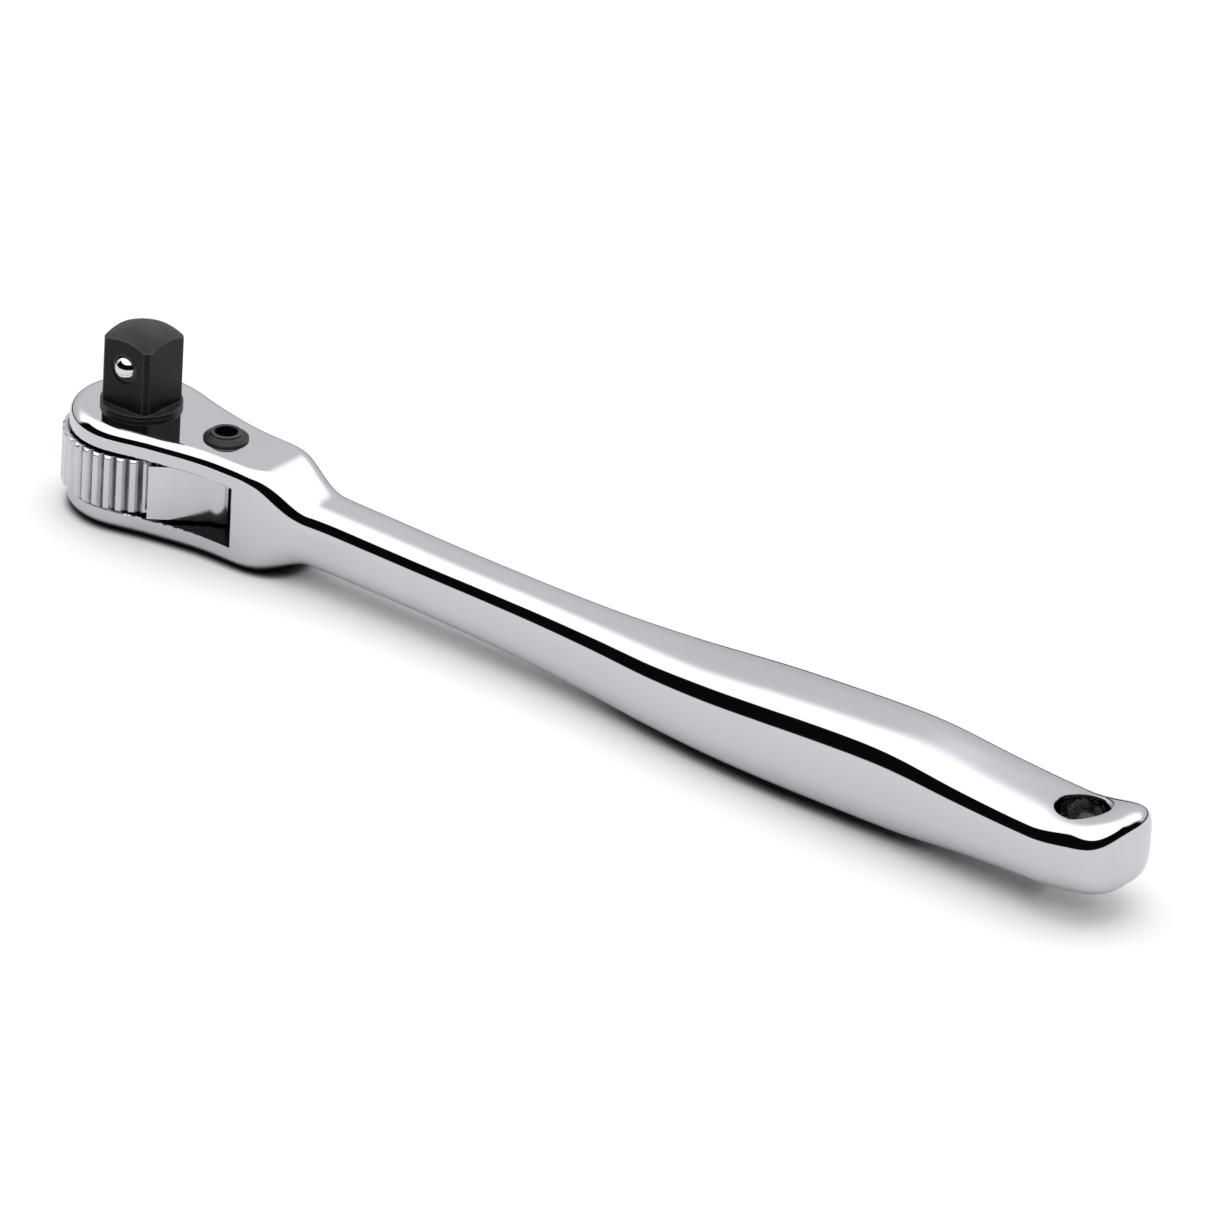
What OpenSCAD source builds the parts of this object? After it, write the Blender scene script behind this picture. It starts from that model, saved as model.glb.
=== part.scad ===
// Ratchet wrench with an open-nose head, 1/4 inch square drive.
// Origin: drive axis on the bottom face of the head. +X runs down the handle, +Z is the drive side.

/* [Head] */
// Thickness of the head
head_t = 11.6; // [11:0.1:12]
// Radius of the round nose of the two head plates
nose_r = 7.45; // [7.3:0.05:7.6]
// Height of the slot that holds the ratchet wheel and the pawl
slot_h = 6.7; // [6.6:0.05:6.8]
// Radius along the top and bottom edges of the head
head_edge_r = 1.3; // [1.0:0.1:1.5]
// X position of the rear lip of the side windows
window_end = 16.4; // [16:0.1:17]

/* [Handle] */
// X position where the flat of the head ends and the neck begins
flat_end = 19; // [18.6:0.1:19.4]
// Full width of the neck
neck_w = 6.8; // [6.4:0.1:7.2]
// Full thickness of the neck
neck_t = 6.9; // [6.8:0.1:7.4]
// Full width of the grip
grip_w = 11.1; // [10.4:0.1:12]
// Full thickness of the grip where it is fullest
grip_t = 10.8; // [10:0.1:11]
// Full thickness of the tail
tail_t = 8.1; // [7.8:0.1:8.8]
// How far the middle of the handle sags below the head's middle plane
sag = 0.6; // [0:0.1:0.7]
// How far the tail sits above the head's middle plane
lift = 0.5; // [0:0.1:0.8]
// X position of the end of the handle
handle_end = 128.75; // [127:0.25:130]
// Roundness of the handle's cross section, 2 is an ellipse
roundness = 3.5; // [3:0.1:4]
// Radius of the hanging hole
hang_r = 2.8; // [2.5:0.05:3]
// Distance from the end of the handle to the middle of the hanging hole
hang_back = 6.5; // [6:0.1:7.5]

/* [Drive] */
// Width across the flats of the drive square
drive_af = 6.35; // [6.25:0.01:6.35]
// Diameter across the rounded corners of the drive square
drive_corner_d = 8.25; // [8.1:0.05:8.3]
// Height of the square's corners above the head
drive_h = 7.7; // [7.3:0.1:8.5]
// Radius of the dome on the end of the square
drive_dome_r = 7.2; // [6.5:0.1:9]
// Radius of the thin collar under the square
collar_r = 4.35; // [4.3:0.05:4.6]
// Thickness of that collar
collar_t = 0.5; // [0.4:0.05:0.6]
// Radius of the ball that holds a socket
ball_r = 1.4; // [1.2:0.05:1.45]
// Height of the ball above the head
ball_h = 5.1; // [4.8:0.1:5.4]

/* [Ratchet] */
// Teeth on the ratchet wheel
teeth = 36; // [36]
// Radius over the tooth crests
crest_r = 8.15; // [8.1:0.05:8.3]
// Depth of the tooth grooves
tooth_depth = 0.62; // [0.55:0.01:0.65]
// Height of the ratchet wheel
gear_h = 6.2; // [6:0.05:6.3]
// X position of the pawl's pin
pawl_x = 11.5; // [11.4:0.05:11.7]
// Height of the pawl
pawl_h = 6.1; // [6:0.05:6.3]
// Angle the pawl rocks through between its two working positions
pawl_throw = 7; // [7]

/* [Hidden] */
$fn = 64;

// Levels of the head
mid_z = head_t / 2;
slot_z = mid_z - slot_h / 2;
slot_top = mid_z + slot_h / 2;
gear_z = mid_z - gear_h / 2;
gear_top = mid_z + gear_h / 2;
// Clearances
run_gap = 0.03;
fit_gap = 0.03;
over = 1;
// Spindle: upper journal, hexagon for the wheel, lower journal
upper_journal_r = 4.1;
hex_af = 6.6;
hex_r = hex_af / sqrt(3);
lower_journal_r = 3.25;
ring_groove_r = 2.75;
spindle_bottom = 0.15;
// Recess under the head for the wave washer and the retaining ring
recess_r = 4.9;
recess_h = 1.15;
ring_z = 0.35;
ring_t = 0.5;
// Pawl pin and pawl
pin_r = 1.65;
pin_bore_r = 1.25;
pin_flare_r = 2.4;
pin_rise = 0.83;
pin_rivet_h = 0.6;
pawl_hub_r = 2.25;
pocket_r = 2.8;
// Plunger behind the pawl
plunger_r = 1.2;
plunger_l = 3.2;
plunger_x = pawl_x + 2.68;
plunger_bore_l = 7.2;
ball_y = 2.45;
hang_x = handle_end - hang_back;

// Smooth curve through stations [x, value], with tangents from the neighbouring stations
function seat(t, x, i = 0) = i >= len(t) - 2 || x < t[i + 1][0] ? i : seat(t, x, i + 1);
function lean(t, i) = let (a = max(i - 1, 0), b = min(i + 1, len(t) - 1))
    i == 0 ? 0 : (t[b][1] - t[a][1]) / (t[b][0] - t[a][0]);
function curve(t, x) = let (i = seat(t, x), d = t[i + 1][0] - t[i][0],
    u = min(max((x - t[i][0]) / d, 0), 1), v = 1 - u)
    t[i][1] * v * v * (1 + 2 * u) + lean(t, i) * d * u * v * v
    + t[i + 1][1] * u * u * (1 + 2 * v) - lean(t, i + 1) * d * u * u * v;
function ease(a, b, x) = let (u = min(max((x - a) / (b - a), 0), 1)) u * u * (3 - 2 * u);

// Half width of the body along X
width_line = [[0, nose_r], [6, nose_r - 1.35], [12, nose_r - 2.5], [18, nose_r - 2.75],
    [20.5, nose_r - 3.1], [25, neck_w / 2 + 0.15], [32, neck_w / 2], [52, neck_w / 2],
    [62, neck_w / 2 + 0.42], [71, grip_w / 2 - 0.85], [80, grip_w / 2 - 0.18],
    [90, grip_w / 2 - 0.05], [handle_end, grip_w / 2]];
// Half thickness of the handle along X; the head adds a shoulder to it
thick_line = [[0, neck_t / 2], [31, neck_t / 2], [42, neck_t / 2], [54, neck_t / 2 + 0.25],
    [70, neck_t / 2 + 0.85], [86, grip_t / 2 - 0.25], [97, grip_t / 2], [103, grip_t / 2 - 0.12],
    [111, tail_t / 2 + 0.45], [119, tail_t / 2], [handle_end, tail_t / 2]];
// Height of the middle of the section above the head's middle plane
middle_line = [[0, 0], [20, 0], [26, 0], [46, -sag / 3], [70, -sag], [86, -sag / 6], [102, lift],
    [handle_end, lift]];

// Cross section by the angle its surface faces: the head has straight sides and round edges,
// the handle is a superellipse, and the neck is a blend of the two
function head_section(w, h, a) =
    [w - head_edge_r * (1 - cos(a)), h - head_edge_r * (1 - sin(a))];
function handle_section(w, h, a) = let (n = roundness, q = n / (n - 1), c = w * cos(a),
    s = h * sin(a), k = pow(pow(c, q) + pow(s, q), 1 / n))
    [w * pow(c, q - 1) / k, h * pow(s, q - 1) / k];
function section(x, w, h, a) = let (m = ease(flat_end - 2, flat_end + 5, x))
    head_section(w, h, (a - 2) * 90 / 86) * (1 - m) + handle_section(w, h, a) * m;
FACING = [88, 80, 70, 58, 45, 32, 20, 10, 2];

// The end of the handle closes as a superellipse, rounder seen from above than from the side
end_l = 4.7;
end_plan = 2.9;
end_profile = 5.2;
end_rise = 1.2;
function end_scale(x, n) = let (u = min(max((x - handle_end + end_l) / end_l, 0), 1))
    pow(1 - pow(u, n), 1 / n);
shoulder_l = 6.5;
function shoulder(x) = (head_t - neck_t) / 2 * (1 - ease(flat_end, flat_end + shoulder_l, x));
function half_w(x) = curve(width_line, x) * end_scale(x, end_plan);
function half_h(x) = (curve(thick_line, x) + shoulder(x)) * end_scale(x, end_profile);
function middle(x) = mid_z + curve(middle_line, x) + end_rise * ease(handle_end - 9, handle_end, x);

// One side of the body from the tip of the nose to the end: [angle around the nose, x]
FRAMES = concat([for (a = [180:-7.5:97.5]) [a, 0]],
    [for (x = [0:1.5:flat_end + 6]) [90, x]],
    [for (x = [flat_end + 8:3:handle_end - end_l - 1]) [90, x]],
    [for (t = [6:10:86]) [90, handle_end - end_l * (1 - pow(sin(t), 2 / end_plan))]]);

function shell_point(f, a, side, up) = let (x = f[1], s = section(x, half_w(x), half_h(x), a))
    [x + s[0] * cos(f[0]), side * s[0] * sin(f[0]), middle(x) + up * s[1]];

module shell() {
    n = len(FRAMES);
    k = 2 * n - 1;
    rows = concat([for (a = FACING) [a, 1]], [for (i = [len(FACING) - 1:-1:0]) [FACING[i], -1]]);
    points = [for (r = rows, i = [0:k - 1]) i < n ? shell_point(FRAMES[i], r[0], 1, r[1])
        : shell_point(FRAMES[k - i], r[0], -1, r[1])];
    last = (len(rows) - 1) * k;
    sides = [for (j = [0:len(rows) - 2], i = [0:k - 1]) let (a = j * k + i,
        b = j * k + (i + 1) % k) each [[a, a + k, b + k], [a, b + k, b]]];
    top = [for (i = [0:n - 2]) let (a = (k - i) % k, b = k - i - 1)
        each i == 0 ? [[0, 1, b]] : [[i, i + 1, b], [i, b, a]]];
    bottom = [for (t = top) [t[2] + last, t[1] + last, t[0] + last]];
    polyhedron(points = points, faces = concat(sides, top, bottom), convexity = 6);
}

// The slot and its windows, seen from above
module slot_cut() {
    translate([0, 0, slot_z]) linear_extrude(slot_h) {
        polygon([[-nose_r - over, -9], [window_end, -9], [window_end, -4.4], [13.7, -1.6],
            [13.7, 1.6], [window_end, 4.4], [window_end, 9], [-nose_r - over, 9]]);
        translate([pawl_x, 0]) circle(r = pocket_r);
    }
}

module body() {
    color([0.80, 0.80, 0.82]) difference() {
        shell();
        slot_cut();
        translate([0, 0, slot_z + 1]) cylinder(r = upper_journal_r + run_gap, h = head_t);
        translate([0, 0, -over]) cylinder(r = lower_journal_r + run_gap, h = mid_z + over);
        translate([0, 0, -over]) cylinder(r = recess_r, h = recess_h + over);
        translate([pawl_x, 0, -over]) cylinder(r = pin_r + fit_gap, h = head_t + 2 * over);
        translate([pawl_x, 0, -0.01])
            cylinder(r1 = pin_flare_r, r2 = pin_r + fit_gap, h = pin_rivet_h + 0.01);
        translate([pawl_x, 0, mid_z]) rotate([0, 90, 0])
            cylinder(r = plunger_r + run_gap, h = pocket_r + plunger_bore_l);
        translate([hang_x, 0, -over]) cylinder(r = hang_r, h = head_t + 4 * over);
    }
}

// Grooves between the teeth, widened or narrowed by gap
groove_half = 34;
module grooves(gap = 0) {
    reach = 1;
    tip = crest_r - tooth_depth + gap / sin(groove_half);
    for (i = [0:teeth - 1]) rotate(i * 360 / teeth) linear_extrude(gear_h + 2 * over)
        polygon([[tip, 0], [tip + reach, -reach * tan(groove_half)],
            [tip + reach, reach * tan(groove_half)]]);
}

module drive_gear() {
    bevel = 0.25;
    color([0.72, 0.72, 0.73]) difference() {
        rotate_extrude() polygon([[0, gear_z], [crest_r - bevel, gear_z],
            [crest_r, gear_z + bevel], [crest_r, gear_top - bevel], [crest_r - bevel, gear_top],
            [0, gear_top]]);
        translate([0, 0, gear_z - over]) cylinder(r = hex_r + run_gap, h = gear_h + 2 * over, $fn = 6);
        translate([0, 0, gear_z - over]) grooves();
    }
}

module square_end() {
    top = head_t + drive_h;
    centre = top - sqrt(pow(drive_dome_r, 2) - pow(drive_corner_d / 2, 2));
    intersection() {
        translate([-drive_af / 2, -drive_af / 2, head_t + collar_t - 0.1])
            cube([drive_af, drive_af, drive_h + 4]);
        translate([0, 0, head_t]) cylinder(d = drive_corner_d, h = drive_h + 4);
        translate([0, 0, centre]) sphere(r = drive_dome_r, $fn = 128);
    }
}

module drive_spindle() {
    ball_z = head_t + ball_h;
    color([0.13, 0.13, 0.13]) difference() {
        union() {
            translate([0, 0, spindle_bottom]) cylinder(r = lower_journal_r, h = mid_z);
            translate([0, 0, gear_z]) cylinder(r = hex_r, h = slot_top - gear_z, $fn = 6);
            translate([0, 0, slot_top]) cylinder(r = upper_journal_r, h = head_t - slot_top + 0.1);
            translate([0, 0, head_t + run_gap]) cylinder(r = collar_r, h = collar_t - run_gap);
            square_end();
        }
        translate([0, 0, ring_z - fit_gap]) difference() {
            cylinder(r = lower_journal_r + over, h = ring_t + 2 * fit_gap);
            translate([0, 0, -over]) cylinder(r = ring_groove_r, h = ring_t + 2 * over);
        }
        translate([0, 0, ball_z]) rotate([90, 0, 0]) {
            translate([0, 0, -2.1]) cylinder(r = ball_r + 0.04, h = 2.1 + ball_y + 0.5);
            cylinder(r = ball_r - 0.06, h = 4);
            translate([0, 0, drive_af / 2 - 0.2]) cylinder(r1 = ball_r, r2 = ball_r + 0.45, h = 0.21);
        }
    }
}

module socket_ball() {
    color([0.85, 0.85, 0.86]) translate([0, -ball_y, head_t + ball_h]) sphere(r = ball_r);
}

// Wire wound along Z from 0 to len
module coil(len, turns, wind_r, wire_r) {
    sides = 6;
    steps = turns * 14;
    points = [for (i = [0:steps], s = [0:sides - 1]) let (a = 360 * turns * i / steps,
        b = 360 * s / sides, r = wind_r + wire_r * cos(b))
        [r * cos(a), r * sin(a), wire_r + (len - 2 * wire_r) * i / steps + wire_r * sin(b)]];
    walls = [for (i = [0:steps - 1], s = [0:sides - 1]) let (a = i * sides + s,
        b = i * sides + (s + 1) % sides) each [[a, b, b + sides], [a, b + sides, a + sides]]];
    start = [for (s = [1:sides - 2]) [0, s + 1, s]];
    end = [for (t = start) [t[0] + steps * sides, t[2] + steps * sides, t[1] + steps * sides]];
    polyhedron(points = points, faces = concat(walls, start, end), convexity = 8);
}

module ball_spring() {
    color([0.7, 0.7, 0.72]) translate([0, -ball_y + ball_r + 0.05, head_t + ball_h])
        rotate([-90, 0, 0]) coil(2.1 + ball_y - ball_r - 0.1, 5, 0.85, 0.14);
}

// Flat ring from z to z + t
module ring(inner, outer, z, t) {
    translate([0, 0, z]) difference() {
        cylinder(r = outer, h = t);
        translate([0, 0, -over]) cylinder(r = inner, h = t + 2 * over);
    }
}

washer_t = 0.2;
module upper_washer() {
    color([0.55, 0.55, 0.57]) ring(hex_r + 0.06, 6.4, slot_top - washer_t - 0.025, washer_t);
}

module lower_washer() {
    color([0.55, 0.55, 0.57])
        ring(lower_journal_r + 0.06, 6.4, slot_z + 0.025, washer_t);
}

module wave_washer() {
    color([0.6, 0.6, 0.62]) ring(lower_journal_r + 0.08, 4.6, recess_h - 0.24, 0.22);
}

module retaining_ring() {
    ear = 155;
    color([0.16, 0.16, 0.17]) difference() {
        union() {
            ring(ring_groove_r + 0.03, 4.1, ring_z, ring_t);
            for (a = [-1, 1]) rotate(ear * a) translate([3.85, 0, ring_z]) cylinder(r = 0.75, h = ring_t);
        }
        translate([0, 0, ring_z - over]) linear_extrude(ring_t + 2 * over)
            polygon([[0, 0], [-8, -1.9], [-8, 1.9]]);
        for (a = [-1, 1]) rotate(ear * a) translate([3.85, 0, ring_z - over])
            cylinder(r = 0.35, h = ring_t + 2 * over);
    }
}

// One arm of the pawl, in mesh with the wheel on its +Y side
module pawl_arm() {
    gap = 0.04;
    difference() {
        translate([0, 0, mid_z - pawl_h / 2]) linear_extrude(pawl_h)
            polygon([[5.58, 5.92], [4.9, 5.2], [6.9, 2.4], [9.6, 1.2], [pawl_x, 0],
                [pawl_x + 0.3, 2]]);
        difference() {
            translate([0, 0, mid_z - pawl_h / 2 - over]) cylinder(r = crest_r + gap, h = pawl_h + 2 * over);
            translate([0, 0, mid_z - pawl_h / 2 - 2 * over]) intersection() {
                grooves(gap);
                linear_extrude(pawl_h + 4 * over) polygon([[0, 0], [12, 5.4], [12, 12]]);
            }
        }
    }
}

module pawl() {
    ridge = 2.62;
    turn = pawl_throw / 2;
    color([0.74, 0.74, 0.75]) difference() {
        union() {
            pawl_arm();
            about_pin(pawl_throw) mirror([0, 1, 0]) pawl_arm();
            translate([pawl_x, 0, mid_z - pawl_h / 2]) cylinder(r = pawl_hub_r, h = pawl_h);
            about_pin(turn) translate([pawl_x, 0, mid_z - pawl_h / 2]) linear_extrude(pawl_h)
                polygon([[1.9, -0.9], [ridge, 0], [1.9, 0.9]]);
        }
        translate([pawl_x, 0, mid_z - pawl_h / 2 - over])
            cylinder(r = pin_r + 0.05, h = pawl_h + 2 * over);
    }
}

module about_pin(a) {
    translate([pawl_x, 0, 0]) rotate(a) translate([-pawl_x, 0, 0]) children();
}

module pawl_pin() {
    color([0.12, 0.12, 0.12]) translate([pawl_x, 0, 0]) rotate_extrude() polygon([
        [pin_bore_r, 0.05], [pin_flare_r - 0.12, 0.05], [pin_r, pin_rivet_h - 0.05],
        [pin_r, head_t], [pin_flare_r, head_t], [pin_flare_r, head_t + 0.22],
        [pin_flare_r - 0.35, head_t + 0.45], [pin_r + 0.05, head_t + 0.6],
        [pin_r, head_t + pin_rise], [pin_bore_r, head_t + pin_rise]]);
}

module pawl_plunger() {
    cup_r = 0.78;
    color([0.68, 0.68, 0.7]) translate([plunger_x, 0, mid_z]) rotate([0, 90, 0]) rotate_extrude()
        polygon([[0, 0], [0.7, 0], [plunger_r, 0.35], [plunger_r, plunger_l], [cup_r, plunger_l],
            [cup_r, 1.4], [0, 1.4]]);
}

module plunger_spring() {
    start = plunger_x + 1.45;
    end = pawl_x + pocket_r + plunger_bore_l - 0.05;
    color([0.7, 0.7, 0.72]) translate([start, 0, mid_z]) rotate([0, 90, 0])
        coil(end - start, 8, 0.58, 0.13);
}

body();
drive_gear();
drive_spindle();
socket_ball();
ball_spring();
upper_washer();
lower_washer();
wave_washer();
retaining_ring();
pawl();
pawl_pin();
pawl_plunger();
plunger_spring();
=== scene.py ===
import math

import bmesh
import bpy
import numpy as np
from mathutils import Matrix, Vector
from mathutils.bvhtree import BVHTree


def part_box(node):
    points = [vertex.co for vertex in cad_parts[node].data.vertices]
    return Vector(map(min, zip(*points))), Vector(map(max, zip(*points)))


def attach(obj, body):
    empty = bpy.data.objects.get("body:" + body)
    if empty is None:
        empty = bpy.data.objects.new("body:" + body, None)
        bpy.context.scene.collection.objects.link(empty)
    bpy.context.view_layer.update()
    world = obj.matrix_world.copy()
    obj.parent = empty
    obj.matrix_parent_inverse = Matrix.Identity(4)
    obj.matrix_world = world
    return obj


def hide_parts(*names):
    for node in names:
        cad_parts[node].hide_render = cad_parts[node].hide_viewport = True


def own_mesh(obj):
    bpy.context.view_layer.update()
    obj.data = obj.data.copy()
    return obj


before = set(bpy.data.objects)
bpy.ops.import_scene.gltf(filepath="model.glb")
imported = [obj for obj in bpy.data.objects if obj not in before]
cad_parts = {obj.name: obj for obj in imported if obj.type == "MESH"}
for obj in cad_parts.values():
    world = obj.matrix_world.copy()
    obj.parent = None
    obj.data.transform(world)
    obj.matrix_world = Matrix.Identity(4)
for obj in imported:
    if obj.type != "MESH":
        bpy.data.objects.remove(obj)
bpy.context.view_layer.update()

MM = 0.001

# Sizes in millimetres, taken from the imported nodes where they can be
BODY_LOW, BODY_HIGH = [np.array(c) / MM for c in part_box("body")]
PIN_LOW, PIN_HIGH = [np.array(c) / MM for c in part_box("pawl_pin")]

HEAD_T = 11.6
NOSE_R = -BODY_LOW[0]
MID_Z = HEAD_T / 2
HEAD_EDGE_R = 1.3
HANDLE_END = BODY_HIGH[0] + 0.01
FLAT_END = 19.0
NECK_W, NECK_T = 6.8, 6.9
GRIP_W, GRIP_T = 11.1, 10.8
TAIL_T = 8.1
SAG, LIFT = 0.6, 0.5
ROUNDNESS = 3.5
SHOULDER_L = 6.5
END_L, END_PLAN, END_PROFILE, END_RISE = 4.7, 2.9, 5.2, 1.2

SLOT_H = 6.7
SLOT_Z, SLOT_TOP = MID_Z - SLOT_H / 2, MID_Z + SLOT_H / 2
SLOT_CHAMFER = 0.12
WINDOW_END = 16.4
PAWL_X = (PIN_LOW[0] + PIN_HIGH[0]) / 2
POCKET_R = 2.8
UPPER_BORE_R, LOWER_BORE_R = 4.13, 3.28
RECESS_R, RECESS_H = 4.9, 1.15
PIN_BORE_R, PIN_SINK_R, PIN_SINK_H = 1.68, 2.42, 0.6
PLUNGER_BORE_R, PLUNGER_BORE_L = 1.23, 7.2
HANG_X = HANDLE_END - 6.5
HANG_R = 2.8
HANG_FLARE, HANG_SINK = 0.35, 0.08
OVER = 1.0

# Edge radii in millimetres and joint travels of the two springs
WHEEL_EDGE, PAWL_EDGE, SPINDLE_EDGE, PIN_EDGE = 0.07, 0.1, 0.16, 0.06
BALL_TRAVEL, PLUNGER_TRAVEL = 0.6, 0.5

# Light: radiance of the white ceiling and of the pale wall on the far side, the angle from the
# camera's horizon where the white gives way to the wall, the height of the dark strip round the
# camera, and the cosine of the angle where the strip ends
WHITE = 1.7
WALL_TOP, WALL_FOOT = 0.87, 0.64
FAR_WHITE = 141
DARK_TOP = 38
DARK_END = -0.3

# Floor: its paleness to the camera and in reflections, the slope below which a reflection looks
# past it, and the reach of the painted contact shadow, a dark line where something stands on it
FLOOR_SEEN = 0.95
FLOOR_REFLECTED = 0.79
FLOOR_FADE = 0.12
FLOOR_CONTACT = 1.6

# Camera in millimetres and degrees
AZIMUTH, ELEVATION, ROLL = 36.858, 27.772, 3.468
CAMERA_AT = Vector((731.53, -893.02, 598.28)) * MM
LENS = 368.55


# ---------------------------------------------------------------- the shape of the body

def curve(stations, x):
    """Smooth curve through [x, value] stations, with tangents from the neighbouring stations."""
    at, value = np.array(stations, float).T
    slope = np.zeros(len(at))
    slope[1:-1] = (value[2:] - value[:-2]) / (at[2:] - at[:-2])
    slope[-1] = (value[-1] - value[-2]) / (at[-1] - at[-2])
    i = np.clip(np.searchsorted(at, x, side="right") - 1, 0, len(at) - 2)
    d = at[i + 1] - at[i]
    u = np.clip((x - at[i]) / d, 0, 1)
    v = 1 - u
    return (value[i] * v * v * (1 + 2 * u) + slope[i] * d * u * v * v
            + value[i + 1] * u * u * (1 + 2 * v) - slope[i + 1] * d * u * u * v)


def ease(a, b, x):
    u = np.clip((x - a) / (b - a), 0, 1)
    return u * u * (3 - 2 * u)


WIDTH_LINE = [[0, NOSE_R], [6, NOSE_R - 1.35], [12, NOSE_R - 2.5], [18, NOSE_R - 2.75],
              [20.5, NOSE_R - 3.1], [25, NECK_W / 2 + 0.15], [32, NECK_W / 2], [52, NECK_W / 2],
              [62, NECK_W / 2 + 0.42], [71, GRIP_W / 2 - 0.85], [80, GRIP_W / 2 - 0.18],
              [90, GRIP_W / 2 - 0.05], [HANDLE_END, GRIP_W / 2]]
THICK_LINE = [[0, NECK_T / 2], [31, NECK_T / 2], [42, NECK_T / 2], [54, NECK_T / 2 + 0.25],
              [70, NECK_T / 2 + 0.85], [86, GRIP_T / 2 - 0.25], [97, GRIP_T / 2],
              [103, GRIP_T / 2 - 0.12], [111, TAIL_T / 2 + 0.45], [119, TAIL_T / 2],
              [HANDLE_END, TAIL_T / 2]]
MIDDLE_LINE = [[0, 0], [20, 0], [26, 0], [46, -SAG / 3], [70, -SAG], [86, -SAG / 6],
               [102, LIFT], [HANDLE_END, LIFT]]


def end_scale(x, power):
    u = np.clip((x - HANDLE_END + END_L) / END_L, 0, 1)
    return (1 - u ** power) ** (1 / power)


def half_width(x):
    return curve(WIDTH_LINE, x) * end_scale(x, END_PLAN)


def half_height(x):
    shoulder = (HEAD_T - NECK_T) / 2 * (1 - ease(FLAT_END, FLAT_END + SHOULDER_L, x))
    return (curve(THICK_LINE, x) + shoulder) * end_scale(x, END_PROFILE)


def middle(x):
    return MID_Z + curve(MIDDLE_LINE, x) + END_RISE * ease(HANDLE_END - 9, HANDLE_END, x)


def facing_angles(per_half):
    """Angles that the surface faces, from straight up to level, closer where the section turns
    fast, and how far each row is across the flat top and down the flat side of the head."""
    power = ROUNDNESS - 1
    half = 0.5 ** (0.5 / power)
    s = np.linspace(0, half, per_half)
    rise = np.degrees(np.arcsin(s ** power))
    angle = np.concatenate([90 - rise, rise[::-1][1:]])
    share = np.concatenate([s, s[::-1][1:]])
    flat = math.sin(math.radians(2)) ** (1 / power)
    across = np.where(angle > 88, share / flat, 1.0)
    down = np.where(angle < 2, share / flat, 1.0)
    return angle, across, down


def section(x, angles):
    """Half section at each x: y and z for the rows from the top to the level row."""
    angle, across, down = angles
    w, h = half_width(x)[:, None], half_height(x)[:, None]
    a = np.radians(angle)[None, :]
    n = ROUNDNESS
    q = n / (n - 1)
    c, s = w * np.abs(np.cos(a)), h * np.abs(np.sin(a))
    k = (c ** q + s ** q) ** (1 / n) + 1e-12
    y, z = w * c ** (q - 1) / k, h * s ** (q - 1) / k
    b = np.radians(np.clip((angle - 2) * 90 / 86, 0, 90))[None, :]
    head_y = (w - HEAD_EDGE_R * (1 - np.cos(b))) * across[None, :]
    head_z = (h - HEAD_EDGE_R * (1 - np.sin(b))) * down[None, :]
    m = ease(FLAT_END - 2, FLAT_END + 5, x)[:, None]
    return head_y * (1 - m) + y * m, head_z * (1 - m) + z * m


def body_grid():
    """Points of the body's surface as a grid: rows run from the top to the bottom, columns run
    from the end of the handle along +Y, round the nose and back along -Y."""
    turn = np.linspace(180, 90, 61)[:-1]
    head = np.arange(0, FLAT_END + 8, 0.3)
    handle = np.linspace(FLAT_END + 8, HANDLE_END - END_L, 210)
    t = np.radians(np.linspace(0, 90, 60))[1:]
    end = HANDLE_END - END_L * (1 - np.sin(t) ** (2 / END_PLAN))
    x = np.concatenate([np.zeros(len(turn)), head, handle, end])
    around = np.radians(np.concatenate([turn, np.full(len(x) - len(turn), 90.0)]))
    y, z = section(x, facing_angles(30))
    y = np.concatenate([y, y[:, ::-1][:, 1:]], axis=1)
    z = np.concatenate([z, -z[:, ::-1][:, 1:]], axis=1)
    px = x[:, None] + y * np.cos(around)[:, None]
    py = y * np.sin(around)[:, None]
    pz = middle(x)[:, None] + z
    near = np.stack([px, -py, pz], axis=-1)
    far = np.stack([px, py, pz], axis=-1)
    return np.concatenate([far[::-1], near[1:]], axis=0)


def grid_normals(points):
    """Unit normals of a grid of points, outward."""
    along = np.gradient(points, axis=0)
    down = np.gradient(points, axis=1)
    n = np.cross(along, down)
    return n / np.maximum(np.linalg.norm(n, axis=-1, keepdims=True), 1e-12)


def link(mesh, name):
    obj = bpy.data.objects.new(name, mesh)
    bpy.context.scene.collection.objects.link(obj)
    return obj


def mesh_object(name, points, faces, slot=0):
    """A closed mesh from points in millimetres, with its faces turned outward."""
    mesh = bpy.data.meshes.new(name)
    mesh.from_pydata([tuple(p) for p in np.asarray(points) * MM], [], faces)
    bm = bmesh.new()
    bm.from_mesh(mesh)
    bmesh.ops.remove_doubles(bm, verts=bm.verts, dist=1e-7)
    bmesh.ops.dissolve_degenerate(bm, edges=bm.edges, dist=1e-8)
    bmesh.ops.recalc_face_normals(bm, faces=bm.faces)
    for f in bm.faces:
        f.material_index = slot
    bm.to_mesh(mesh)
    bm.free()
    return link(mesh, name)


def prism(name, outline, low, high):
    """An upright prism over an outline of x, y points."""
    n = len(outline)
    points = [(x, y, low) for x, y in outline] + [(x, y, high) for x, y in outline]
    sides = [[i, (i + 1) % n, n + (i + 1) % n, n + i] for i in range(n)]
    return mesh_object(name, points, sides + [list(range(n)), list(range(n, 2 * n))], slot=1)


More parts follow.
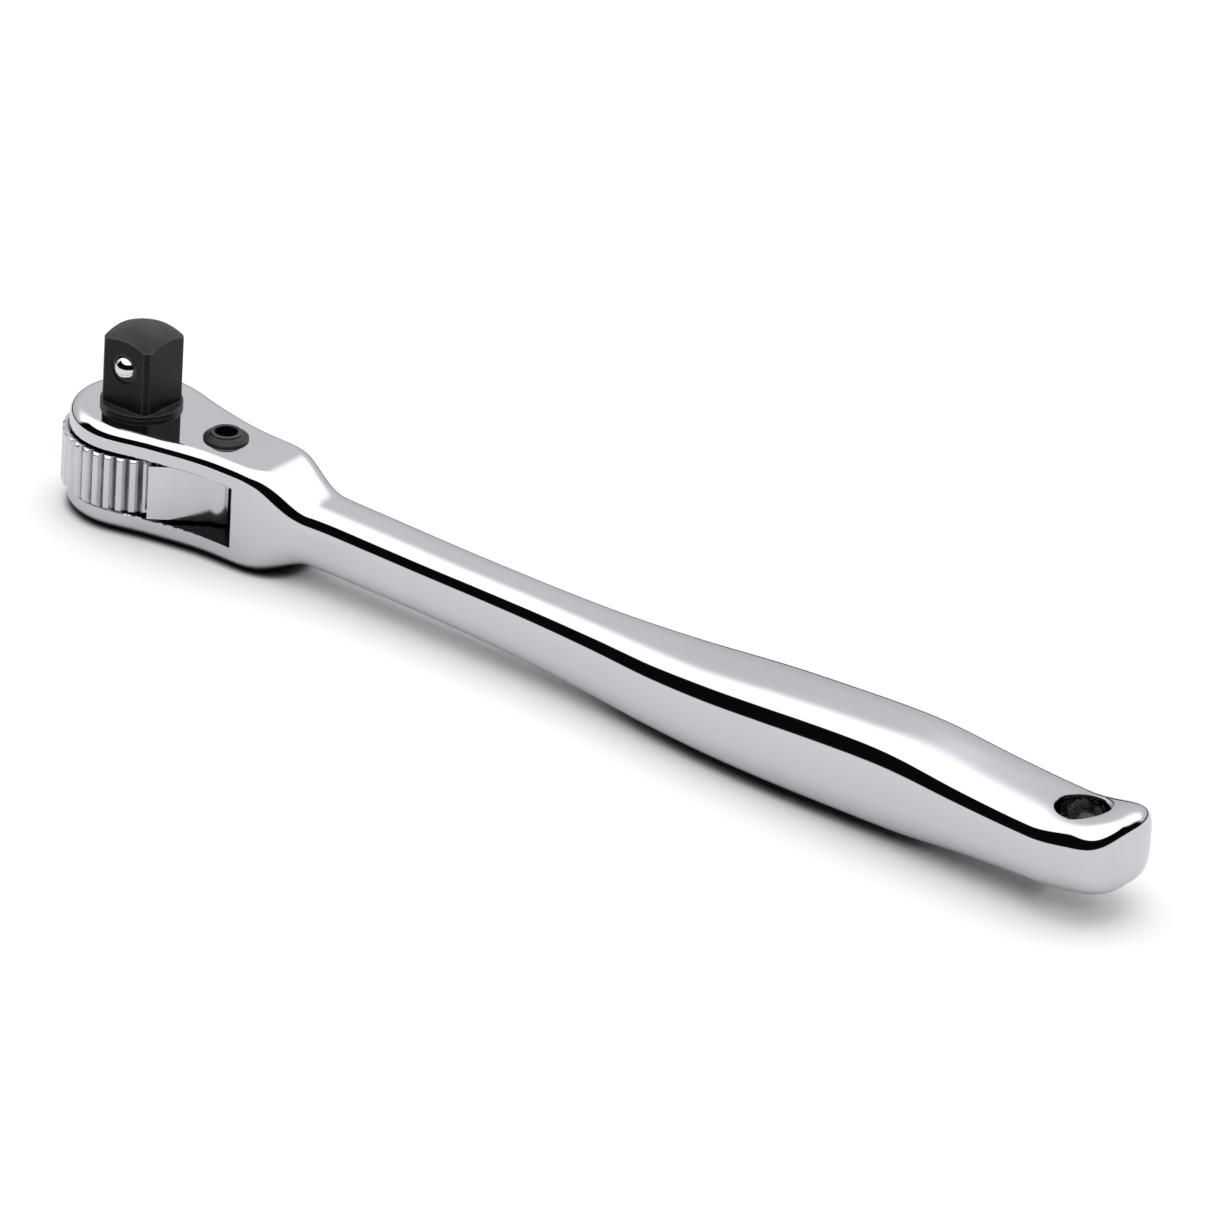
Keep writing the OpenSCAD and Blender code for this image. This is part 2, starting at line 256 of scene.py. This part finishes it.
def lathe(name, profile, at=(0, 0, 0), turn=None, steps=96):
    """A solid turned about an axis from a profile of radius, height points."""
    angles = np.linspace(0, 2 * math.pi, steps, endpoint=False)
    rows = [[(r * math.cos(a), r * math.sin(a), h) for a in angles] for r, h in profile]
    points = np.array(rows).reshape(-1, 3)
    if turn is not None:
        points = points @ np.array(turn.to_3x3().transposed())
    points = points + np.array(at)
    faces = []
    for j in range(len(profile) - 1):
        for i in range(steps):
            k = (i + 1) % steps
            faces.append([j * steps + i, j * steps + k, (j + 1) * steps + k, (j + 1) * steps + i])
    last = (len(profile) - 1) * steps
    faces.append([last + i for i in range(steps)])
    faces.append(list(range(steps))[::-1])
    return mesh_object(name, points, faces, slot=1)


def slot_rim(chamfer):
    """A thin ring that takes the sharp edge off both plates where the slot opens."""
    turn = np.radians(np.linspace(180, 90, 46))
    x = np.concatenate([np.zeros(len(turn)), np.arange(0.4, WINDOW_END + 0.01, 0.4)])
    around = np.concatenate([turn, np.full(len(x) - len(turn), math.pi / 2)])
    w = half_width(x)
    out = 0.6
    half = SLOT_H / 2
    rows = [(-chamfer, -half + 0.05), (0, -half - chamfer), (out, -half - chamfer - out),
            (out, half + chamfer + out), (0, half + chamfer), (-chamfer, half - 0.05)]
    grid = []
    for side in (1, -1):
        half_rim = [[(xi + (wi + r) * math.cos(a), side * (wi + r) * math.sin(a), MID_Z + z)
                     for r, z in rows] for xi, wi, a in zip(x, w, around)]
        grid += half_rim[::-1] if side == 1 else half_rim[1:]
    n, k = len(grid), len(rows)
    faces = []
    for i in range(n - 1):
        for j in range(k):
            here, there = i * k, (i + 1) * k
            faces.append([here + j, here + (j + 1) % k, there + (j + 1) % k, there + j])
    faces += [list(range(k)), [(n - 1) * k + j for j in range(k)]]
    return mesh_object("rim_cutter", np.array(grid).reshape(-1, 3), faces, slot=1)


def rounded_mouth(radius, low, high, flare):
    """Profile of a through hole whose two mouths open in a quarter round."""
    arc = np.radians(np.linspace(90, 0, 9))
    top = [(radius + flare * (1 - math.sin(a)), high - flare + flare * math.cos(a)) for a in arc]
    bottom = [(r, low + high - h) for r, h in reversed(top)]
    return [(radius + flare, low - 3)] + bottom + top + [(radius + flare, high + 3)]


def cut(target, tool):
    mod = target.modifiers.new(tool.name, "BOOLEAN")
    mod.object = tool
    mod.operation = "DIFFERENCE"
    mod.solver = "EXACT"
    mod.material_mode = "INDEX"


def applied(obj):
    """Replaces an object's mesh by its evaluated mesh and drops its modifiers."""
    graph = bpy.context.evaluated_depsgraph_get()
    mesh = bpy.data.meshes.new_from_object(obj.evaluated_get(graph), preserve_all_data_layers=True,
                                           depsgraph=graph)
    obj.modifiers.clear()
    old = obj.data
    obj.data = mesh
    bpy.data.meshes.remove(old)


def discard(obj):
    mesh = obj.data
    bpy.data.objects.remove(obj)
    bpy.data.meshes.remove(mesh)


def body_cutters():
    """What is cut from the forging: the slot with its windows, the bores and the hanging hole."""
    near_side = [(-NOSE_R - OVER, -9), (WINDOW_END, -9), (WINDOW_END, -4.4), (13.7, -1.6)]
    outline = near_side + [(x, -y) for x, y in reversed(near_side)]
    pocket = [(PAWL_X + POCKET_R * math.cos(a), POCKET_R * math.sin(a))
              for a in np.linspace(0, 2 * math.pi, 64, endpoint=False)]
    level = Matrix.Rotation(math.pi / 2, 4, "Y")
    yield prism("slot_cutter", outline, SLOT_Z, SLOT_TOP)
    yield prism("pocket_cutter", pocket, SLOT_Z + 0.001, SLOT_TOP - 0.001)
    yield slot_rim(SLOT_CHAMFER)
    yield lathe("upper_bore", [(UPPER_BORE_R, MID_Z), (UPPER_BORE_R, HEAD_T + OVER)])
    yield lathe("lower_bore", [(RECESS_R, -OVER), (RECESS_R, RECESS_H), (LOWER_BORE_R, RECESS_H),
                               (LOWER_BORE_R, MID_Z)])
    yield lathe("pin_bore", [(PIN_SINK_R, -OVER), (PIN_SINK_R, 0), (PIN_BORE_R, PIN_SINK_H),
                             (PIN_BORE_R, HEAD_T + OVER)], at=(PAWL_X, 0, 0))
    yield lathe("plunger_bore", [(PLUNGER_BORE_R, 0), (PLUNGER_BORE_R, POCKET_R + PLUNGER_BORE_L)],
                at=(PAWL_X, 0, MID_Z), turn=level)
    x = np.array([HANG_X])
    centre, half = float(middle(x)[0]), float(half_height(x)[0]) - HANG_SINK
    mouths = rounded_mouth(HANG_R, centre - half, centre + half, HANG_FLARE)
    yield lathe("hang_hole", mouths, at=(HANG_X, 0, 0))


def build_body():
    """The forged body: a dense smooth surface, cut by the slot, bores and hanging hole, that keeps
    the normals of the uncut surface."""
    points = body_grid()
    n, k = points.shape[:2]
    normals = grid_normals(points)
    normals[:, 0] *= (1, 0, 1)
    normals[:, -1] *= (1, 0, 1)
    length = np.linalg.norm(normals, axis=-1, keepdims=True)
    normals = normals / np.maximum(length, 1e-9)
    if normals[n // 4, k // 2][1] * points[n // 4, k // 2][1] < 0:
        normals = -normals
    normals[0], normals[-1] = (1, 0, 0), (1, 0, 0)
    faces = [[i * k + j, (i + 1) * k + j, (i + 1) * k + j + 1, i * k + j + 1]
             for i in range(n - 1) for j in range(k - 1)]
    body = mesh_object("body_forging", points.reshape(-1, 3), faces)
    flat_points = [Vector(p) for p in points.reshape(-1, 3)]
    flat_normals = normals.reshape(-1, 3)
    halves = [t for a, b, c, d in faces for t in ((a, b, c), (a, c, d))]
    tree = BVHTree.FromPolygons(flat_points, halves)

    cutters = list(body_cutters())
    for cutter in cutters:
        cut(body, cutter)
    body.data.materials.append(None)
    body.data.materials.append(None)
    applied(body)
    for cutter in cutters:
        discard(cutter)

    mesh = body.data
    mesh.shade_smooth()
    mesh.set_sharp_from_angle(angle=math.radians(30))
    corner = np.zeros(len(mesh.loops) * 3)
    mesh.corner_normals.foreach_get("vector", corner)
    corner = corner.reshape(-1, 3)
    smooth = {}
    for polygon in mesh.polygons:
        if polygon.material_index != 0:
            continue
        for loop in polygon.loop_indices:
            v = mesh.loops[loop].vertex_index
            if v not in smooth:
                spot, _, face, _ = tree.find_nearest(mesh.vertices[v].co / MM)
                a, b, c = (points.reshape(-1, 3)[i] for i in halves[face])
                smooth[v] = blended(spot, (a, b, c), [flat_normals[i] for i in halves[face]])
            corner[loop] = smooth[v]
    mesh.normals_split_custom_set([tuple(c) for c in corner])
    return body


def blended(spot, triangle, normals):
    """The normal at a spot in a triangle, weighted by the areas opposite its corners."""
    p = np.array(spot)
    a, b, c = triangle
    areas = np.cross([b - p, c - p, a - p], [c - p, a - p, b - p])
    weights = np.linalg.norm(areas, axis=1) + 1e-12
    n = weights @ np.array(normals)
    return n / max(np.linalg.norm(n), 1e-9)


def even_normals(mesh, limit):
    """Keeps flat faces flat and lets the small faces between them shade round."""
    count = len(mesh.polygons)
    normal = np.array([p.normal for p in mesh.polygons])
    weight = np.array([p.area for p in mesh.polygons]) ** 2
    around = [[] for _ in mesh.vertices]
    for i in range(count):
        for v in mesh.polygons[i].vertices:
            around[v].append(i)
    corner = [None] * len(mesh.loops)
    for i in range(count):
        polygon = mesh.polygons[i]
        for loop, v in zip(polygon.loop_indices, polygon.vertices):
            near = [q for q in around[v] if normal[q] @ normal[i] > math.cos(limit)] or [i]
            total = weight[near] @ normal[near]
            corner[loop] = tuple(total / max(np.linalg.norm(total), 1e-30))
    mesh.shade_smooth()
    mesh.normals_split_custom_set(corner)


def refined(node, width, segments=2):
    """A copy of a CAD node with its facets merged and its edges rounded."""
    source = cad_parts[node]
    piece = link(source.data.copy(), node + "_finish")
    bm = bmesh.new()
    bm.from_mesh(piece.data)
    bmesh.ops.remove_doubles(bm, verts=bm.verts, dist=2e-7)
    bmesh.ops.dissolve_limit(bm, angle_limit=math.radians(0.5), verts=bm.verts, edges=bm.edges)
    bm.to_mesh(piece.data)
    bm.free()
    piece.data.materials.clear()
    bevel = piece.modifiers.new("edges", "BEVEL")
    bevel.width = width * MM
    bevel.segments = segments
    bevel.limit_method = "ANGLE"
    bevel.angle_limit = math.radians(32)
    bevel.use_clamp_overlap = True
    applied(piece)
    even_normals(piece.data, math.radians(46))
    return piece


# ---------------------------------------------------------------- materials

class Nodes:
    """A short way to write a node tree."""

    def __init__(self, tree):
        self.tree = tree
        tree.nodes.clear()

    def add(self, kind, **values):
        node = self.tree.nodes.new(kind)
        for key, value in values.items():
            if key.startswith("in_"):
                self.set(node.inputs[int(key[3:])], value)
            else:
                setattr(node, key, value)
        return node

    def set(self, socket, value):
        if isinstance(value, bpy.types.NodeSocket):
            self.tree.links.new(value, socket)
        else:
            socket.default_value = value

    def math(self, operation, a, b=0.0, c=0.0):
        node = self.add("ShaderNodeMath", operation=operation, in_0=a, in_1=b, in_2=c)
        return node.outputs[0]

    def spread(self, value, low, high, to_low, to_high):
        """Carries value from low..high to to_low..to_high, easing in and out."""
        node = self.add("ShaderNodeMapRange", in_0=value, in_1=low, in_2=high, in_3=to_low,
                        in_4=to_high)
        node.interpolation_type = "SMOOTHSTEP"
        return node.outputs[0]

    def noise(self, scale, detail=2.0, stretch=(1, 1, 1), roughness=0.5):
        place = self.add("ShaderNodeTexCoord").outputs["Object"]
        mapped = self.add("ShaderNodeMapping", in_0=place)
        mapped.inputs["Scale"].default_value = stretch
        node = self.add("ShaderNodeTexNoise")
        self.set(node.inputs["Vector"], mapped.outputs[0])
        node.inputs["Scale"].default_value = scale
        node.inputs["Detail"].default_value = detail
        node.inputs["Roughness"].default_value = roughness
        return node.outputs[0]

    def mix(self, share, low, high):
        node = self.add("ShaderNodeMix", data_type="RGBA")
        self.set(node.inputs[0], share)
        self.set(node.inputs[6], low)
        self.set(node.inputs[7], high)
        return node.outputs[2]

    def bump(self, height, strength, distance):
        node = self.add("ShaderNodeBump")
        node.inputs["Strength"].default_value = strength
        node.inputs["Distance"].default_value = distance
        self.set(node.inputs["Height"], height)
        return node.outputs[0]


def grey(value, tint=(1, 1, 1)):
    return (value * tint[0], value * tint[1], value * tint[2], 1)


def surface(nodes, color, metallic, roughness, normal, specular=0.5):
    """Finishes a material from its sockets or values."""
    shader = nodes.add("ShaderNodeBsdfPrincipled")
    nodes.set(shader.inputs["Base Color"], color)
    shader.inputs["Metallic"].default_value = metallic
    nodes.set(shader.inputs["Roughness"], roughness)
    shader.inputs["Specular IOR Level"].default_value = specular
    nodes.set(shader.inputs["Normal"], normal)
    out = nodes.add("ShaderNodeOutputMaterial")
    nodes.set(out.inputs["Surface"], shader.outputs[0])


def new_material(name):
    material = bpy.data.materials.new(name)
    material.use_nodes = True
    return material, Nodes(material.node_tree)


def edge_share(nodes, radius):
    """1 on sharp edges and 0 on flat ground."""
    rounded = nodes.add("ShaderNodeBevel", samples=4)
    rounded.inputs["Radius"].default_value = radius * MM
    true = nodes.add("ShaderNodeNewGeometry").outputs["Normal"]
    dot = nodes.add("ShaderNodeVectorMath", operation="DOT_PRODUCT")
    nodes.set(dot.inputs[0], rounded.outputs[0])
    nodes.set(dot.inputs[1], true)
    return nodes.spread(dot.outputs["Value"], 0.995, 0.86, 0.0, 1.0)


def chrome(name="polished_chrome", low=0.025, high=0.06, hole=None):
    """Bright plating; hole, when given, sets painted shade in the tail's hole: base 0.6 × hole."""
    material, n = new_material(name)
    cloud = n.noise(90, 4.0)
    fine = n.noise(900, 3.0)
    wear = n.math("MULTIPLY_ADD", fine, 0.35, n.math("MULTIPLY", cloud, 0.65))
    roughness = n.spread(wear, 0.35, 0.68, low, high)
    color = n.mix(cloud, grey(0.60, (1, 0.99, 1.05)), grey(0.64, (1, 0.99, 1.045)))
    if hole is not None:
        place = n.add("ShaderNodeTexCoord").outputs["Object"]
        along = n.add("ShaderNodeSeparateXYZ", in_0=place).outputs[0]
        # Painted shade inside the tail's hole: past x = 90–100 mm the base colour is 0.6 × hole
        color = n.mix(n.spread(along, 0.09, 0.1, 0.0, 1.0), color, grey(0.6 * hole))
    wave = n.bump(n.noise(260, 1.0), 0.015, 0.0002)
    surface(n, color, 1.0, roughness, wave)
    return material


def ground_steel(name="bright_steel", stretch=(1, 1, 14), base=0.62, floor_r=None):
    """Fine ground steel; below floor_r from the Z axis, when given, the grooves get painted shade.
    """
    material, n = new_material(name)
    lines = n.noise(1500, 4.0, stretch=stretch, roughness=0.6)
    cloud = n.noise(250, 3.0)
    color = n.mix(cloud, grey(base - 0.05, (1, 0.99, 1.05)), grey(base + 0.06, (1, 0.99, 1.04)))
    if floor_r is not None:
        # Painted shade: inside floor_r the tooth grooves darken towards grey 0.12
        flat = n.add("ShaderNodeVectorMath", operation="MULTIPLY")
        n.set(flat.inputs[0], n.add("ShaderNodeTexCoord").outputs["Object"])
        flat.inputs[1].default_value = (1, 1, 0)
        radius = n.add("ShaderNodeVectorMath", operation="LENGTH", in_0=flat.outputs[0])
        ragged = n.math("MULTIPLY_ADD", cloud, 0.0002, radius.outputs["Value"])
        unshaded = n.spread(ragged, (floor_r - 0.1) * MM, (floor_r + 0.42) * MM, 0.0, 1.0)
        color = n.mix(unshaded, grey(0.12), color)
    roughness = n.spread(lines, 0.3, 0.7, 0.1, 0.2)
    surface(n, color, 1.0, roughness, n.bump(lines, 0.03, 0.00002))
    return material


def black_oxide():
    """Satin black, with a painted highlight on sharp edges and painted light on faces turned up."""
    material, n = new_material("black_oxide")
    cloud = n.noise(420, 4.0)
    grain = n.noise(4200, 3.0, roughness=0.7)
    # Painted highlight: sharp edges pale towards grey 0.12, in patches
    edge = n.math("MULTIPLY", edge_share(n, 0.3), n.spread(cloud, 0.3, 0.7, 0.45, 1.0))
    base = n.mix(cloud, grey(0.003, (1, 0.98, 0.97)), grey(0.008, (1, 0.99, 0.97)))
    normal = n.add("ShaderNodeNewGeometry").outputs["Normal"]
    up = n.add("ShaderNodeSeparateXYZ", in_0=normal).outputs[2]
    patches = n.spread(cloud, 0.3, 0.7, 0.5, 1.0)
    # Painted light: faces turned up pale towards grey 0.034, in patches, for the white ceiling
    painted_top_light = n.math("MULTIPLY", n.spread(up, 0.5, 0.85, 0.0, 1.0), patches)
    color = n.mix(edge, n.mix(painted_top_light, base, grey(0.034, (0.98, 0.98, 1.04))), grey(0.12))
    roughness = n.spread(grain, 0.3, 0.7, 0.28, 0.42)
    surface(n, color, 0.0, roughness, n.bump(grain, 0.18, 0.00002), specular=0.18)
    return material


def ball_steel():
    material, n = new_material("ball_steel")
    cloud = n.noise(800, 3.0)
    roughness = n.spread(cloud, 0.3, 0.7, 0.04, 0.1)
    surface(n, n.mix(cloud, grey(0.68), grey(0.74)), 1.0, roughness, n.bump(cloud, 0.02, 0.00003))
    return material


def spring_steel():
    material, n = new_material("spring_steel")
    drawn = n.noise(1800, 4.0)
    roughness = n.spread(drawn, 0.3, 0.7, 0.24, 0.4)
    surface(n, n.mix(drawn, grey(0.40), grey(0.5)), 1.0, roughness, n.bump(drawn, 0.1, 0.00002))
    return material


# ---------------------------------------------------------------- light, floor and camera

def camera_axes():
    a, e, r = (math.radians(v) for v in (AZIMUTH, ELEVATION, ROLL))
    back = Vector((math.sin(a) * math.cos(e), -math.cos(a) * math.cos(e), math.sin(e)))
    side = (-back).cross(Vector((0, 0, 1))).normalized()
    up = side.cross(-back)
    right = side * math.cos(r) + up * math.sin(r)
    return right, up * math.cos(r) - side * math.sin(r), back


def add_camera():
    data = bpy.data.cameras.new("camera")
    data.lens = LENS
    data.sensor_width = 36
    data.clip_start, data.clip_end = 0.05, 50
    camera = bpy.data.objects.new("camera", data)
    right, up, back = camera_axes()
    place = Matrix((right, up, back)).transposed().to_4x4()
    place.translation = CAMERA_AT
    camera.matrix_world = place
    bpy.context.scene.collection.objects.link(camera)
    bpy.context.scene.camera = camera


def studio():
    """The light: a white ceiling from low behind the camera to high on the far side, a dark strip
    above the floor around the camera, and a pale grey wall on the far side."""
    world = bpy.data.worlds.new("studio")
    bpy.context.scene.world = world
    world.use_nodes = True
    n = Nodes(world.node_tree)
    a = math.radians(AZIMUTH)
    toward = (math.sin(a), -math.cos(a), 0)
    direction = n.add("ShaderNodeTexCoord").outputs["Generated"]
    z = n.add("ShaderNodeSeparateXYZ", in_0=direction).outputs[2]
    dot = n.add("ShaderNodeVectorMath", operation="DOT_PRODUCT")
    n.set(dot.inputs[0], direction)
    dot.inputs[1].default_value = toward
    near = dot.outputs["Value"]
    angle = n.math("ARCTAN2", z, near)
    below_one = n.math("SUBTRACT", 1.0, n.math("MULTIPLY", z, z))
    facing = n.math("DIVIDE", near, n.math("SQRT", n.math("MAXIMUM", below_one, 1e-4)))
    far = n.spread(angle, math.radians(FAR_WHITE - 9), math.radians(FAR_WHITE + 9), 0.0, 1.0)
    wall = n.spread(angle, math.radians(FAR_WHITE), math.radians(180), WALL_TOP, WALL_FOOT)
    wall_color = n.add("ShaderNodeCombineColor", in_0=wall, in_1=wall, in_2=wall).outputs[0]
    bright = n.mix(far, grey(WHITE), wall_color)
    strip_low, strip_high = (math.sin(math.radians(DARK_TOP + d)) for d in (-1.2, 1.2))
    low = n.spread(z, strip_low, strip_high, 1.0, 0.0)
    around = n.spread(facing, DARK_END - 0.08, DARK_END + 0.08, 0.0, 1.0)
    dark = n.math("MULTIPLY", low, around)
    color = n.mix(dark, bright, grey(0.004))
    out = n.add("ShaderNodeBackground", in_0=color)
    n.set(n.add("ShaderNodeOutputWorld").inputs["Surface"], out.outputs[0])


def add_floor():
    mesh = bpy.data.meshes.new("floor")
    s = 4.0
    mesh.from_pydata([(-s, -s, 0), (s, -s, 0), (s, s, 0), (-s, s, 0)], [], [(0, 1, 2, 3)])
    floor = link(mesh, "floor")
    floor.location.z = -0.03 * MM
    material, n = new_material("pale_floor")
    seen = n.add("ShaderNodeLightPath").outputs["Is Camera Ray"]
    incoming = n.add("ShaderNodeNewGeometry").outputs["Incoming"]
    slope = n.add("ShaderNodeSeparateXYZ", in_0=incoming).outputs[2]
    reflected = n.mix(n.spread(slope, FLOOR_FADE - 0.02, FLOOR_FADE + 0.02, 0.0, 1.0),
                      grey(0.004), grey(FLOOR_REFLECTED))
    # Painted contact shadow: ambient occlusion darkens the floor's colour near the object
    near = n.add("ShaderNodeAmbientOcclusion", samples=8)
    near.inputs["Distance"].default_value = FLOOR_CONTACT * MM
    open_sky = near.outputs["AO"]
    seen_color = n.mix(n.spread(open_sky, 0.3, 0.75, 0.0, 1.0), grey(0.12), grey(FLOOR_SEEN))
    reflected = n.mix(n.spread(open_sky, 0.45, 0.95, 0.0, 1.0), grey(0.02), reflected)
    diffuse = n.add("ShaderNodeBsdfDiffuse")
    n.set(diffuse.inputs[0], n.mix(seen, reflected, seen_color))
    out = n.add("ShaderNodeOutputMaterial")
    n.set(out.inputs["Surface"], diffuse.outputs[0])
    mesh.materials.append(material)


# ---------------------------------------------------------------- the object

CHROME = chrome()
# hole=0.6 paints shade inside the tail's hole
CUT_CHROME = chrome("chrome_in_the_slot", 0.05, 0.11, hole=0.6)
STEEL = ground_steel()
# floor_r=7.6 paints shade in the tooth grooves
WHEEL = ground_steel("wheel_steel", floor_r=7.6)
OXIDE = black_oxide()
BALL = ball_steel()
SPRING = spring_steel()


def finish_piece(piece, node, body, slot, *materials):
    numbers = [polygon.material_index for polygon in piece.data.polygons]
    piece.data.materials.clear()
    for material in materials:
        piece.data.materials.append(material)
    piece.data.polygons.foreach_set("material_index", numbers)
    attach(piece, body)
    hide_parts(node)


def add_spring(node, body, travel):
    """A spring: a smooth-shaded copy of the CAD node, attached to its body; travel is not used."""
    piece = link(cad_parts[node].data.copy(), node + "_coil")
    even_normals(piece.data, math.radians(70))
    finish_piece(piece, node, body, "spring_steel", SPRING)
    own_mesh(piece)


def dress(node, material):
    """Gives a CAD node that stays in view its finish."""
    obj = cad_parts[node]
    if not obj.material_slots:
        obj.data.materials.append(material)
    for slot in obj.material_slots:
        slot.material = material


body = build_body()
finish_piece(body, "body", "handle_body", "polished_chrome", CHROME, CUT_CHROME)
gear = refined("drive_gear", WHEEL_EDGE)
finish_piece(gear, "drive_gear", "drive", "bright_steel", WHEEL)
pawl = refined("pawl", PAWL_EDGE)
finish_piece(pawl, "pawl", "pawl", "bright_steel", STEEL)
spindle = refined("drive_spindle", SPINDLE_EDGE, 3)
finish_piece(spindle, "drive_spindle", "drive", "black_oxide", OXIDE)
pin = refined("pawl_pin", PIN_EDGE)
finish_piece(pin, "pawl_pin", "handle_body", "black_oxide", OXIDE)
add_spring("ball_spring", "drive", BALL_TRAVEL)
add_spring("plunger_spring", "handle_body", PLUNGER_TRAVEL)
dress("socket_ball", BALL)
dress("retaining_ring", OXIDE)
dress("pawl_plunger", STEEL)
for name in ("upper_washer", "lower_washer", "wave_washer"):
    dress(name, SPRING)

add_floor()
studio()
add_camera()
view = bpy.context.scene.view_settings
view.view_transform = "Standard"
view.look = "None"
view.exposure = 0
view.gamma = 1
